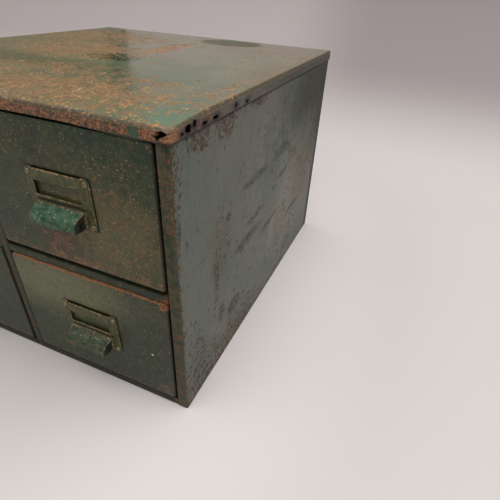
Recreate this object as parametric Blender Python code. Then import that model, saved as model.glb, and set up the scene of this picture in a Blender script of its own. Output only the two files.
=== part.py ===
"""A four-drawer cabinet for small parts, folded from sheet steel.

A cap lid and two flanged side panels close a shell with front rails, a double-walled centre divider,
and a ledge runner on each side of every drawer. Each drawer is a pan-shaped front on an open tray, with a
riveted pull that has a card frame above and a hood for the fingers below.
Metres, +Z up, the drawers open towards -Y. The origin is at the centre of the base's bounding box.
"""

from math import cos, pi, radians, sin

import bmesh
import bpy
from mathutils import Vector

# Overall size
WIDTH = 0.412
HEIGHT = 0.300
LID_DEPTH = 0.446
PULL_REACH = 0.016  # how far the hoods stand out in front of the lid

# Sheet and fits
SHEET = 0.001
GAP = 0.0003  # between pieces that are welded or resting together
BEND_RADIUS = 0.002
BEND_STEPS = 3

# Along Y, front to back
LID_FRONT_Y = -(LID_DEPTH + PULL_REACH) / 2 + PULL_REACH
LID_BACK_Y = LID_FRONT_Y + LID_DEPTH
FACE_Y = LID_FRONT_Y + GAP  # outer face of the closed drawers
FRAME_Y = LID_FRONT_Y + SHEET + GAP  # front face of stiles, mullion and rails
BODY_BACK_Y = LID_BACK_Y - SHEET - GAP

# Lid
LID_LIP = 0.012
LID_CORNER_RADIUS = 0.003

# Side panels
SIDE_X = WIDTH / 2 - SHEET - GAP
BODY_TOP = HEIGHT - SHEET - 2 * GAP
STILE_X = WIDTH / 2 - 0.013
STILE_RETURN = 0.010
REAR_FLANGE = 0.014
EDGE_FLANGE = 0.012

# Divider and rails
MULLION_HALF = 0.0045
RAIL_DEPTH = 0.012
FLOOR_CLEAR = SHEET + GAP
BOTTOM_RAIL_TOP = 0.0093
MID_RAIL_Z = (0.143, 0.151)
TOP_RAIL_Z = (0.2885, 0.2975)

# Drawers
DRAWER_GAP = 0.0015  # beside each front
FRONT_X = (MULLION_HALF + DRAWER_GAP, STILE_X - DRAWER_GAP)
FRONT_WIDTH = FRONT_X[1] - FRONT_X[0]
COLUMN_X = (FRONT_X[0] + FRONT_X[1]) / 2
FRONT_HEIGHT = 0.131
FRONT_DEPTH = 0.012
FRONT_CORNER_RADIUS = 0.0045
LOWER_FRONT_Z = 0.0108
UPPER_FRONT_Z = HEIGHT - LID_LIP - 0.0008 - FRONT_HEIGHT

# Trays
TRAY_WIDTH = 0.172
TRAY_DROP = 0.0025  # tray's underside above the front's lower edge
TRAY_HEIGHT = 0.112
TRAY_BACK_Y = BODY_BACK_Y - 0.0112
TRAY_FLANGE = 0.012
TRAY_RELIEF = 0.003
EAR_LENGTH = 0.014
EAR_HEIGHT = 0.0225
TRAVEL = 0.360

# Runners
RUNNER_CLEAR = 0.0008  # between tray and guide wall
LEDGE = 0.0105
GUIDE_HEIGHT = 0.009
RUNNER_FLANGE = 0.012
RUNNER_FRONT_Y = FACE_Y + FRONT_DEPTH + 0.0007
RUNNER_BACK_Y = BODY_BACK_Y - 0.0026

# Pull: a card frame, two wings with the rivets, and a hood
PULL_WIDTH = 0.067
PULL_HEIGHT = 0.048
PULL_CORNER_RADIUS = 0.005
PULL_X = -0.002  # plate's centre from the front's: the pulls sit a little to the left
PULL_Z = 0.067  # plate's centre above the front's lower edge
CARD_RAISE = 0.0016
CARD_HALF = 0.0252
CARD_FOOT_HALF = 0.028
CARD_EAR_HALF = 0.022
WINDOW_HALF = 0.024
WINDOW_Z = (0.001, 0.0135)
STRIP_Z = -0.002
STRIP_FOOT_Z = -0.0034
HOOD_ROOT_Z = -0.005
HOOD_HALF = 0.0268
HOOD_SLOPE = 0.0015  # how much the hood falls from its root to its front
HOOD_LOW_Z = -0.0175
HOOD_BEND_RADIUS = 0.004
HOOD_REACH = PULL_REACH + GAP  # from the drawer's face
SLOT_LOW_Z = -0.0185

# Rivets
RIVET_X = 0.0297
RIVET_Z = (0.0195, -0.0195)
RIVET_HEAD_RADIUS = 0.0026
RIVET_HEAD_HEIGHT = 0.0012
RIVET_SHANK_RADIUS = 0.0015
RIVET_TAIL_RADIUS = 0.0023
RIVET_TAIL_HEIGHT = 0.0008
RIVET_HOLE_RADIUS = RIVET_SHANK_RADIUS + GAP
RIVET_SIDES = 10

SIDES = {"left": -1, "right": 1}
LEVELS = {"lower": LOWER_FRONT_Z, "upper": UPPER_FRONT_Z}


def clear_scene():
    for obj in list(bpy.data.objects):
        bpy.data.objects.remove(obj, do_unlink=True)


def make_material(name, colour, roughness, metallic=0.0):
    material = bpy.data.materials.new(name)
    material.use_nodes = True
    shader = material.node_tree.nodes["Principled BSDF"]
    shader.inputs["Base Color"].default_value = (*colour, 1.0)
    shader.inputs["Roughness"].default_value = roughness
    shader.inputs["Metallic"].default_value = metallic
    material.diffuse_color = (*colour, 1.0)
    return material


def place(name, mesh, material, location=(0, 0, 0), rotation=(0, 0, 0), parent=None):
    obj = bpy.data.objects.new(name, mesh)
    bpy.context.scene.collection.objects.link(obj)
    obj.location = location
    obj.rotation_euler = rotation
    obj.parent = parent
    if material and not mesh.materials:
        mesh.materials.append(material)
    return obj


def add_thickness(obj, thickness=SHEET):
    """Gives a folded surface its sheet, on the side that its normals point away from."""
    modifier = obj.modifiers.new("sheet", "SOLIDIFY")
    modifier.thickness = thickness
    modifier.offset = -1
    modifier.solidify_mode = "NON_MANIFOLD"
    modifier.nonmanifold_thickness_mode = "CONSTRAINTS"
    return modifier


def mesh_of(name, points, faces, smooth=True):
    mesh = bpy.data.meshes.new(name)
    mesh.from_pydata([tuple(point) for point in points], [], faces)
    mesh.update()
    if smooth:
        mesh.shade_smooth()
        mesh.set_sharp_from_angle(angle=radians(35))
    return mesh


def rounded_path(corners, radii, steps=BEND_STEPS):
    """A 2D path through corners, with an arc of its own radius at each inner one. Radius 0 keeps a point."""
    corners = [Vector(corner) for corner in corners]
    path = [corners[0]]
    for before, corner, after, radius in zip(corners, corners[1:], corners[2:], radii):
        if radius == 0:
            path.append(corner)
            continue
        towards = (before - corner).normalized()
        onwards = (after - corner).normalized()
        half_angle = towards.angle(onwards) / 2
        reach = radius * cos(half_angle) / sin(half_angle)
        centre = corner + (towards + onwards).normalized() * radius / sin(half_angle)
        start = corner + towards * reach - centre
        end = corner + onwards * reach - centre
        turn = start.angle_signed(end)
        for step in range(steps + 1):
            angle = -turn * step / steps
            spun = Vector(
                (
                    start.x * cos(angle) - start.y * sin(angle),
                    start.x * sin(angle) + start.y * cos(angle),
                )
            )
            path.append(centre + spun)
    path.append(corners[-1])
    return path


def swept_sheet(path, stations, to_point):
    """Quads between copies of a 2D path, one at each station. to_point(a, b, station) gives the 3D point."""
    points = [to_point(p.x, p.y, station) for station in stations for p in path]
    count = len(path)
    faces = []
    for row in range(len(stations) - 1):
        for column in range(count - 1):
            low = row * count + column
            faces.append((low, low + 1, low + count + 1, low + count))
    return points, faces


def mirrored(points, faces, side):
    """The same surface, turned over to the left side where side is -1."""
    if side > 0:
        return points, faces
    flipped = [(-x, y, z) for x, y, z in points]
    return flipped, [tuple(reversed(face)) for face in faces]


def rounded_outline(width, height, radius, steps=4):
    outline = []
    centres = (
        (width / 2 - radius, height / 2 - radius),
        (-width / 2 + radius, height / 2 - radius),
        (-width / 2 + radius, -height / 2 + radius),
        (width / 2 - radius, -height / 2 + radius),
    )
    for quarter, (x, y) in enumerate(centres):
        for step in range(steps + 1):
            angle = (quarter + step / steps) * pi / 2
            outline.append((x + radius * cos(angle), y + radius * sin(angle)))
    return outline


def pan_mesh(name, width, height, depth, corner_radius, edge_radius):
    """A shallow cap open towards -Z, its face at Z = 0, with round corners and a round edge."""
    levels = [(0, -depth), (0, -edge_radius)]
    for step in range(1, BEND_STEPS + 1):
        angle = pi / 2 * step / BEND_STEPS
        levels.append((edge_radius * (1 - cos(angle)), edge_radius * (sin(angle) - 1)))
    points = []
    for inset, z in levels:
        outline = rounded_outline(width - 2 * inset, height - 2 * inset, corner_radius - inset)
        points += [(x, y, z) for x, y in outline]
    count = len(points) // len(levels)
    faces = []
    for ring in range(len(levels) - 1):
        for i in range(count):
            j = (i + 1) % count
            faces.append((ring * count + i, ring * count + j, (ring + 1) * count + j, (ring + 1) * count + i))
    faces.append(tuple(range((len(levels) - 1) * count, len(levels) * count)))
    return mesh_of(name, points, faces)


def turned_mesh(name, profile, sides):
    """A closed solid turned about Z from (radius, z) points that run from its bottom pole to its top pole."""
    bottom, *rings, top = profile
    points = [(0, 0, bottom[1])]
    for radius, z in rings:
        for side in range(sides):
            angle = 2 * pi * side / sides
            points.append((radius * cos(angle), radius * sin(angle), z))
    points.append((0, 0, top[1]))
    last = len(points) - 1
    faces = []
    for side in range(sides):
        after = (side + 1) % sides
        faces.append((0, 1 + after, 1 + side))
        for ring in range(len(rings) - 1):
            low = 1 + ring * sides
            high = low + sides
            faces.append((low + side, low + after, high + after, high + side))
        high = 1 + (len(rings) - 1) * sides
        faces.append((high + side, high + after, last))
    return mesh_of(name, points, faces)


def build_lid(material):
    mesh = pan_mesh("lid", WIDTH, LID_DEPTH, LID_LIP, LID_CORNER_RADIUS, BEND_RADIUS)
    obj = place("lid", mesh, material, location=(0, (LID_FRONT_Y + LID_BACK_Y) / 2, HEIGHT))
    add_thickness(obj)


def build_side_panel(side_name, material):
    """The wall, with the front stile and its return, a rear flange, and a flange along top and bottom."""
    side = SIDES[side_name]
    flange_front = FRAME_Y + EDGE_FLANGE + 0.002
    flange_back = BODY_BACK_Y - 0.002
    corners = (
        (STILE_X, FRAME_Y + STILE_RETURN),
        (STILE_X, FRAME_Y),
        (SIDE_X, FRAME_Y),
        (SIDE_X, flange_front),
        (SIDE_X, flange_back - 0.002),
        (SIDE_X, BODY_BACK_Y),
        (SIDE_X - REAR_FLANGE, BODY_BACK_Y),
    )
    path = rounded_path(corners, (BEND_RADIUS * 0.6, BEND_RADIUS, 0, 0, BEND_RADIUS))
    points, faces = swept_sheet(path, (0.0, BODY_TOP), lambda x, y, z: (x, y, z))
    front = next(i for i, p in enumerate(path) if abs(p.y - flange_front) < 1e-6)
    count = len(path)
    for row, z in ((0, 0.0), (1, BODY_TOP)):
        start = len(points)
        points.append((SIDE_X - EDGE_FLANGE, flange_front, z))
        points.append((SIDE_X - EDGE_FLANGE, path[front + 1].y, z))
        quad = (row * count + front, row * count + front + 1, start + 1, start)
        faces.append(quad if row else tuple(reversed(quad)))
    points, faces = mirrored(points, faces, side)
    name = f"side_panel_{side_name}"
    add_thickness(place(name, mesh_of(name, points, faces), material))


def build_back_panel(material):
    left, right = -SIDE_X + 2 * SHEET, SIDE_X - 2 * SHEET
    low, high = 2 * SHEET + 2 * GAP, BODY_TOP - SHEET - GAP
    y = BODY_BACK_Y - SHEET - GAP
    points = [(right, y, low), (left, y, low), (left, y, high), (right, y, high)]
    add_thickness(place("back_panel", mesh_of("back_panel", points, [(0, 1, 2, 3)]), material))


def build_bottom_panel(material):
    """Flat on the ground, with its two edges stepped up over the side panels' lower flanges."""
    step_foot = SIDE_X - EDGE_FLANGE - 0.006
    step_top = SIDE_X - EDGE_FLANGE - 0.003
    edge = SIDE_X - SHEET - 2 * GAP
    lift = SHEET + GAP
    right_half = [Vector((step_foot, 0)), Vector((step_top, lift)), Vector((edge, lift))]
    path = [Vector((-p.x, p.y)) for p in reversed(right_half)] + right_half
    stations = (FRAME_Y + STILE_RETURN + 2 * GAP, BODY_BACK_Y - SHEET - GAP)
    points, faces = swept_sheet(path, stations, lambda x, z, y: (x, y, z))
    faces = [tuple(reversed(face)) for face in faces]
    add_thickness(place("bottom_panel", mesh_of("bottom_panel", points, faces), material))


def build_divider(material):
    """A folded double wall: the mullion in front, and a wall for each column's runners."""
    back = RUNNER_BACK_Y
    corners = (
        (-MULLION_HALF, back),
        (-MULLION_HALF, FRAME_Y),
        (MULLION_HALF, FRAME_Y),
        (MULLION_HALF, back),
    )
    path = rounded_path(corners, (BEND_RADIUS * 0.6, BEND_RADIUS * 0.6))
    points, faces = swept_sheet(path, (FLOOR_CLEAR, BODY_TOP), lambda x, y, z: (x, y, z))
    add_thickness(place("centre_divider", mesh_of("centre_divider", points, faces), material))


def build_rail(name, side, low, high, lower_flange, material):
    """A front rail between mullion and stile: a face with a flange back at the top, and one at the bottom."""
    corners = [(FRAME_Y + RAIL_DEPTH, high), (FRAME_Y, high), (FRAME_Y, low)]
    radii = [BEND_RADIUS * 0.6]
    if lower_flange:
        corners.append((FRAME_Y + RAIL_DEPTH, low))
        radii.append(BEND_RADIUS * 0.6)
    path = rounded_path(corners, radii)
    ends = (MULLION_HALF + GAP, STILE_X - GAP)
    points, faces = swept_sheet(path, ends, lambda y, z, x: (x, y, z))
    points, faces = mirrored(points, faces, side)
    add_thickness(place(name, mesh_of(name, points, faces), material))


def build_runner(name, wall_x, guide_x, ledge_z, side, material):
    """A strip welded to a wall: its guide runs beside the tray, and the tray's edge rests on its ledge."""
    inwards = -1 if wall_x > guide_x else 1
    outer = wall_x + inwards * (GAP + SHEET)
    corners = (
        (outer, ledge_z + GUIDE_HEIGHT + RUNNER_FLANGE),
        (outer, ledge_z + GUIDE_HEIGHT),
        (guide_x, ledge_z + GUIDE_HEIGHT),
        (guide_x, ledge_z),
        (guide_x + inwards * LEDGE, ledge_z),
    )
    path = [Vector(corner) for corner in corners]
    points, faces = swept_sheet(path, (RUNNER_FRONT_Y, RUNNER_BACK_Y), lambda x, z, y: (x, y, z))
    if inwards < 0:
        faces = [tuple(reversed(face)) for face in faces]
    points, faces = mirrored(points, faces, side)
    add_thickness(place(name, mesh_of(name, points, faces), material))


def tray_mesh():
    """Sides, floor, back, flanges and stop ears, about the column's centre and the front's lower edge."""
    half = TRAY_WIDTH / 2
    low = TRAY_DROP
    high = TRAY_DROP + TRAY_HEIGHT
    front = SHEET + GAP
    back = TRAY_BACK_Y - FACE_Y
    rail_rear = FRAME_Y + RAIL_DEPTH - FACE_Y
    ear = rail_rear + TRAVEL + GAP
    path = [
        Vector(p)
        for p in (
            (-half, high),
            (-half, low + TRAY_RELIEF),
            (-half, low),
            (half, low),
            (half, low + TRAY_RELIEF),
            (half, high),
        )
    ]
    stations = (front, ear, ear + EAR_LENGTH, back)
    points, faces = swept_sheet(path, stations, lambda x, z, y: (x, y, z))
    count = len(path)
    faces.append(tuple(3 * count + i for i in range(count)))
    for sign, top, relief in ((-1, 0, 1), (1, count - 1, count - 2)):
        start = len(points)
        points += [(sign * half, y, high + EAR_HEIGHT) for y in (ear, ear + EAR_LENGTH)]
        points += [(sign * (half - TRAY_FLANGE), front, z) for z in (low + TRAY_RELIEF, high)]
        ear_quad = (count + top, 2 * count + top, start + 1, start)
        flange_quad = (relief, top, start + 3, start + 2)
        for quad in (ear_quad, flange_quad):
            faces.append(quad if sign < 0 else tuple(reversed(quad)))
    faces = [tuple(reversed(face)) for face in faces]
    return mesh_of("drawer_tray", points, faces)


def pull_mesh():
    """The pull's outer skin about its plate's centre, in X and Z, with Y = 0 on the drawer's face.

    Columns and rows of a grid carry the raised card frame. The hood hangs from the row below the frame.
    """
    base = -(SHEET + GAP)
    raised = base - CARD_RAISE
    half = PULL_WIDTH / 2
    top = PULL_HEIGHT / 2
    ear_foot_z = WINDOW_Z[1] + 0.0025
    columns = (half, CARD_FOOT_HALF, HOOD_HALF, CARD_HALF, WINDOW_HALF, CARD_EAR_HALF)
    columns = tuple(-x for x in columns) + tuple(reversed(columns))
    rows = (top, ear_foot_z, WINDOW_Z[1], WINDOW_Z[0], STRIP_Z, STRIP_FOOT_Z, HOOD_ROOT_Z, SLOT_LOW_Z, -top)

    def is_raised(x, z):
        if z >= ear_foot_z:
            return abs(x) <= CARD_EAR_HALF
        return z >= STRIP_Z and abs(x) <= CARD_HALF

    points = [(x, raised if is_raised(x, z) else base, z) for z in rows for x in columns]
    width = len(columns)

    def is_open(row, column):
        inner_x = abs(columns[column] + columns[column + 1]) / 2
        window = rows[row] == WINDOW_Z[1] and inner_x < WINDOW_HALF
        slot = rows[row] == HOOD_ROOT_Z and inner_x < HOOD_HALF
        return window or slot

    faces = []
    for row in range(len(rows) - 1):
        for column in range(width - 1):
            if is_open(row, column):
                continue
            corner = row * width + column
            quad = [corner, corner + width, corner + width + 1, corner + 1]
            outer_column = column in (0, width - 2)
            if outer_column and row in (0, len(rows) - 2):
                quad = round_off(points, quad, rows[0 if row == 0 else -1], columns[0 if column == 0 else -1])
            faces.append(tuple(quad))

    hood = (
        (base, HOOD_ROOT_Z),
        (-HOOD_REACH, HOOD_ROOT_Z - HOOD_SLOPE),
        (-HOOD_REACH, HOOD_LOW_Z),
    )
    path = rounded_path(hood, (HOOD_BEND_RADIUS,), steps=4)
    root = [
        rows.index(HOOD_ROOT_Z) * width + i for i, x in enumerate(columns) if abs(x) <= HOOD_HALF
    ]
    slot_row = (rows.index(SLOT_LOW_Z) - rows.index(HOOD_ROOT_Z)) * width
    left_cheek = [root[0] + slot_row, root[0]]
    right_cheek = [root[-1] + slot_row, root[-1]]
    above = root
    for p in path[1:]:
        below = [len(points), len(points) + 1]
        points += [(-HOOD_HALF, p.x, p.y), (HOOD_HALF, p.x, p.y)]
        faces.append((*reversed(above), *below))
        left_cheek.append(below[0])
        right_cheek.append(below[1])
        above = below
    faces.append(tuple(reversed(left_cheek)))
    faces.append(tuple(right_cheek))
    return mesh_of("drawer_pull", points, faces)


def round_off(points, quad, corner_z, corner_x):
    """Replaces the plate's outer corner of a quad by an arc."""
    radius = PULL_CORNER_RADIUS
    at = next(i for i in quad if points[i][0] == corner_x and points[i][2] == corner_z)
    sign_x = 1 if corner_x > 0 else -1
    sign_z = 1 if corner_z > 0 else -1
    centre_x = corner_x - sign_x * radius
    centre_z = corner_z - sign_z * radius
    y = points[at][1]
    steps = 4
    arc = []
    for step in range(steps + 1):
        angle = pi / 2 * step / steps
        arc.append((centre_x + sign_x * radius * cos(angle), y, centre_z + sign_z * radius * sin(angle)))
    if sign_x * sign_z < 0:
        arc.reverse()
    position = quad.index(at)
    points[at] = arc[0]
    added = list(range(len(points), len(points) + steps))
    points += arc[1:]
    return quad[:position] + [at] + added + quad[position + 1 :]


def rivet_mesh():
    """Turned about Z, which points out of the drawer. Z = 0 is the drawer's outer face."""
    head_base = SHEET + 2 * GAP
    tail_base = -(SHEET + GAP)
    profile = (
        (0, tail_base - RIVET_TAIL_HEIGHT),
        (RIVET_TAIL_RADIUS * 0.8, tail_base - RIVET_TAIL_HEIGHT),
        (RIVET_TAIL_RADIUS, tail_base),
        (RIVET_SHANK_RADIUS, tail_base),
        (RIVET_SHANK_RADIUS, head_base),
        (RIVET_HEAD_RADIUS, head_base),
        (RIVET_HEAD_RADIUS * 0.85, head_base + RIVET_HEAD_HEIGHT * 0.55),
        (RIVET_HEAD_RADIUS * 0.45, head_base + RIVET_HEAD_HEIGHT * 0.93),
        (0, head_base + RIVET_HEAD_HEIGHT),
    )
    return turned_mesh("pull_rivet", profile, RIVET_SIDES)


def rivet_places():
    return [(x, z) for z in RIVET_Z for x in (-RIVET_X, RIVET_X)]


def hole_cutter_mesh():
    """Four drills through a drawer's pull and front, about the plate's centre."""
    cutter = bmesh.new()
    for x, z in rivet_places():
        made = bmesh.ops.create_cone(
            cutter,
            cap_ends=True,
            segments=RIVET_SIDES,
            radius1=RIVET_HOLE_RADIUS,
            radius2=RIVET_HOLE_RADIUS,
            depth=8 * SHEET,
        )
        for vertex in made["verts"]:
            across, up, along = vertex.co
            vertex.co = (x + across, -along, z + up)
    mesh = bpy.data.meshes.new("rivet_holes")
    cutter.to_mesh(mesh)
    cutter.free()
    return mesh


def drill(obj, cutter):
    modifier = obj.modifiers.new("rivet_holes", "BOOLEAN")
    modifier.operation = "DIFFERENCE"
    modifier.solver = "EXACT"
    modifier.object = cutter


def build_drawer(level, side_name, meshes, materials):
    """One drawer on an empty that stands on its slide: the front's lower edge, on the column's centre."""
    at = f"{level}_{side_name}"
    slide = bpy.data.objects.new(f"drawer_{at}_slide", None)
    bpy.context.scene.collection.objects.link(slide)
    slide.location = (SIDES[side_name] * COLUMN_X, FACE_Y, LEVELS[level])

    pull_place = (PULL_X, 0, PULL_Z)
    cutter = place(f"rivet_holes_{at}", meshes["holes"], None, location=pull_place, parent=slide)
    cutter.hide_render = True
    cutter.display_type = "WIRE"

    front = place(
        f"drawer_front_{at}",
        meshes["front"],
        materials["front"],
        location=(0, 0, FRONT_HEIGHT / 2),
        rotation=(pi / 2, 0, 0),
        parent=slide,
    )
    add_thickness(front)
    drill(front, cutter)

    tray = place(f"drawer_tray_{at}", meshes["tray"], materials["tray"], parent=slide)
    add_thickness(tray)

    pull = place(f"drawer_pull_{at}", meshes["pull"], materials["pull"], location=pull_place, parent=slide)
    add_thickness(pull)
    drill(pull, cutter)

    for number, (x, z) in enumerate(rivet_places(), start=1):
        place(
            f"pull_rivet_{at}_{number}",
            meshes["rivet"],
            materials["rivet"],
            location=(PULL_X + x, 0, PULL_Z + z),
            rotation=(pi / 2, 0, 0),
            parent=slide,
        )


def build_runners(material):
    """Two runners for each drawer: one on the side panel, one on the divider."""
    guide_offset = TRAY_WIDTH / 2 + RUNNER_CLEAR
    walls = {
        "outer": (SIDE_X - SHEET, COLUMN_X + guide_offset),
        "inner": (MULLION_HALF, COLUMN_X - guide_offset),
    }
    for level, front_z in LEVELS.items():
        for side_name, side in SIDES.items():
            for place_name, (wall_x, guide_x) in walls.items():
                name = f"runner_{level}_{side_name}_{place_name}"
                ledge_z = front_z + TRAY_DROP - GAP
                build_runner(name, wall_x, guide_x, ledge_z, side, material)


def main():
    clear_scene()
    lid_paint = make_material("lid_paint", (0.10, 0.13, 0.10), 0.45)
    side_paint = make_material("side_paint", (0.12, 0.135, 0.12), 0.55)
    frame_paint = make_material("frame_paint", (0.045, 0.06, 0.04), 0.5)
    inner_paint = make_material("inner_paint", (0.06, 0.07, 0.05), 0.6)
    drawer_materials = {
        "front": make_material("drawer_paint", (0.05, 0.065, 0.04), 0.45),
        "tray": inner_paint,
        "pull": make_material("pull_paint", (0.08, 0.085, 0.05), 0.45),
        "rivet": make_material("rivet_steel", (0.35, 0.31, 0.24), 0.4, metallic=0.8),
    }
    build_lid(lid_paint)
    for side_name in SIDES:
        build_side_panel(side_name, side_paint)
    build_back_panel(side_paint)
    build_bottom_panel(side_paint)
    build_divider(frame_paint)
    for side_name, side in SIDES.items():
        build_rail(f"bottom_rail_{side_name}", side, FLOOR_CLEAR, BOTTOM_RAIL_TOP, False, frame_paint)
        build_rail(f"mid_rail_{side_name}", side, *MID_RAIL_Z, True, frame_paint)
        build_rail(f"top_rail_{side_name}", side, *TOP_RAIL_Z, True, frame_paint)
    build_runners(inner_paint)
    meshes = {
        "front": pan_mesh(
            "drawer_front", FRONT_WIDTH, FRONT_HEIGHT, FRONT_DEPTH, FRONT_CORNER_RADIUS, BEND_RADIUS
        ),
        "tray": tray_mesh(),
        "pull": pull_mesh(),
        "rivet": rivet_mesh(),
        "holes": hole_cutter_mesh(),
    }
    for level in LEVELS:
        for side_name in SIDES:
            build_drawer(level, side_name, meshes, drawer_materials)


main()
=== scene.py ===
from functools import reduce
from math import cos, pi, radians, sin

import bmesh
import bpy
from mathutils import Matrix, Vector, noise


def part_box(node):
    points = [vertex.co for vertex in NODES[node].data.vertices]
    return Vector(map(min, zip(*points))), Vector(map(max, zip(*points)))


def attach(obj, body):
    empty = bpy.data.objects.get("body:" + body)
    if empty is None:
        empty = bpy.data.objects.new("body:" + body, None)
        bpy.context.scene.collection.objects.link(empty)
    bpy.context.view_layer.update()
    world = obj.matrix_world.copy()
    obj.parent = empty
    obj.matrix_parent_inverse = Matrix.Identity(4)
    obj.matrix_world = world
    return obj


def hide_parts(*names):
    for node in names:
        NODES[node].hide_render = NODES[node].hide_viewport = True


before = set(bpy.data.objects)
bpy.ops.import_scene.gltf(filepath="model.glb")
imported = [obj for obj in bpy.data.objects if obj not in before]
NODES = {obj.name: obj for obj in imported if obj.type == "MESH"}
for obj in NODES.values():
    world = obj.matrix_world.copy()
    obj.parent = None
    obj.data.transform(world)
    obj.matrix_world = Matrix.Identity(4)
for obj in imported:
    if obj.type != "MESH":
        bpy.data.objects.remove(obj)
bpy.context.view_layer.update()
SCENE = bpy.context.scene
SCENE.view_settings.view_transform = "Standard"

DRAWERS = [f"{level}_{side}" for level in ("lower", "upper") for side in ("left", "right")]

# Everything below is in millimetres unless it says metres.
TOP_Z = 300  # the lid's top
SIDE_X = 205  # the right side's outer face, about
THROUGH = 60  # a patch's half size where it goes right through the sheet

HOLES = [
    # Centre and half sizes of the places where the lip has rusted through. The last three are in the front.
    ((205, -199, 291.0), (5, 2.2, 1.4)),
    ((205, -191, 292.6), (5, 5.0, 3.2)),
    ((205, -182, 293.8), (5, 3.2, 3.4)),
    ((205, -167, 290.6), (5, 4.6, 1.8)),
    ((205, -149, 290.6), (5, 5.8, 1.7)),
    ((205, -112, 291.8), (5, 2.6, 2.3)),
    ((205, -88, 290.8), (5, 3.8, 1.8)),
    ((199.2, -215, 293.9), (3.9, 5, 2.5)),
    ((196.4, -215, 291.4), (2.2, 5, 1.9)),
    ((202.4, -214.5, 294.8), (1.6, 4, 1.2)),
]

SMEARS = [
    # Y, Z, half length and half height of the dark level smears on the side
    (-50, 203, 36, 5),
    (40, 208, 34, 7),
    (-46, 154, 26, 4),
    (-66, 133, 38, 6),
    (44, 174, 16, 5),
    (20, 118, 50, 4),
    (-134, 72, 8, 14),
    (-103, 58, 18, 10),
    (-145, 128, 5, 20),
    (-148, 142, 6, 8),
    (86, 26, 12, 9),
    (-120, 187, 6, 5),
    (171, 124, 7, 5),
    (175, 155, 8, 5),
    (137, 151, 8, 5),
    (116, 93, 34, 6),
    (-209, 218, 3, 12),
]

LIP_SAG = [
    # X, and how far the front lip's lower edge hangs below where it should be
    (-206, 0.0),
    (-100, -0.5),
    (0, -1.2),
    (80, -1.8),
    (117, -1.6),
    (133, -1.1),
    (150, -0.4),
    (163, 0.6),
    (175, 1.1),
    (186, 0.3),
    (192, 0.2),
    (206, 1.3),
]


def box_mm(node):
    """A node's lowest and highest corners in millimetres."""
    low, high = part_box(node)
    return Vector(low) * 1000, Vector(high) * 1000


def srgb(red, green, blue):
    """A linear colour from 0 to 255 display values."""
    return tuple((v / 255 / 12.92) if v < 10.3 else ((v / 255 + 0.055) / 1.055) ** 2.4 for v in (red, green, blue))


def add_object(name, data):
    made = bpy.data.objects.new(name, data)
    SCENE.collection.objects.link(made)
    return made


# ---------------------------------------------------------------- camera, stage and light

def add_camera():
    """The photograph's viewpoint, from a fit to the cabinet's edges. In metres."""
    data = bpy.data.cameras.new("camera")
    data.lens = 28.2
    data.sensor_width = 36
    data.clip_start = 0.01
    camera = add_object("camera", data)
    place = Vector((0.3472, -0.4249, 0.3776))
    look = Vector((-0.29875, 0.77132, -0.56197))
    turn = look.to_track_quat("-Z", "Y").to_matrix() @ Matrix.Rotation(radians(3.275), 3, "Z")
    camera.matrix_world = Matrix.Translation(place) @ turn.to_4x4()
    SCENE.camera = camera


def add_stage():
    """A floor that curves up into a wall behind the cabinet. In metres."""
    reach, start, radius, wall_top, steps = 14, 0.45, 0.6, 3.0, 16
    profile = [Vector((-reach, 0)), Vector((start, 0))]
    for step in range(1, steps + 1):
        angle = pi / 2 * step / steps
        profile.append(Vector((start + radius * sin(angle), radius * (1 - cos(angle)))))
    profile.append(Vector((start + radius, wall_top)))
    points = [(x, p.x, p.y) for x in (-reach, reach) for p in profile]
    count = len(profile)
    faces = [(i, i + count, i + count + 1, i + 1) for i in range(count - 1)]
    mesh = bpy.data.meshes.new("backdrop")
    mesh.from_pydata(points, [], faces)
    mesh.shade_smooth()
    backdrop = add_object("backdrop", mesh)
    backdrop.location.z = -0.0005
    m = Shade("backdrop")
    # Painted light: the floor is paler near the cabinet's right side, to offset its shadow there, and darker
    # further off.
    ground = m.mix(m.blob((206, 0, 0), (130, 330, 900), 0, 1.4), srgb(195, 190, 187), srgb(216, 211, 209))
    # Painted shade: the wall is darker towards the right.
    wall = m.tones(m.x, -150, 200, (168, 159, 159), (140, 132, 132))
    m.colour(m.mix(m.step(m.z, -10, 200), ground, wall))
    m.roughness(0.75)
    mesh.materials.append(m.material)


def add_card():
    """A brown card with a dark edge, in metres. It shows only as a reflection in the glossy top."""
    left, right, y, low, high = -2.4, -0.76, 0.98, 0.34, 1.5
    corners = [(left, y, low), (right, y, low), (right, y, high), (left, y, high)]
    mesh = bpy.data.meshes.new("card")
    mesh.from_pydata(corners, [], [(0, 1, 2, 3)])
    card = add_object("card", mesh)
    m = Shade("card")
    m.colour(m.tones(m.x, -850, -890, (26, 28, 20), (136, 116, 90)))
    m.roughness(0.9)
    mesh.materials.append(m.material)
    card.visible_camera = False
    card.visible_diffuse = False
    card.visible_shadow = False


def area_light(name, place, target, size, power, colour=(1, 1, 1)):
    data = bpy.data.lights.new(name, "AREA")
    data.shape = "RECTANGLE"
    data.size, data.size_y = size
    data.energy = power
    data.color = colour
    light = add_object(name, data)
    light.location = place
    light.rotation_euler = (Vector(target) - Vector(place)).to_track_quat("-Z", "Y").to_euler()


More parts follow.
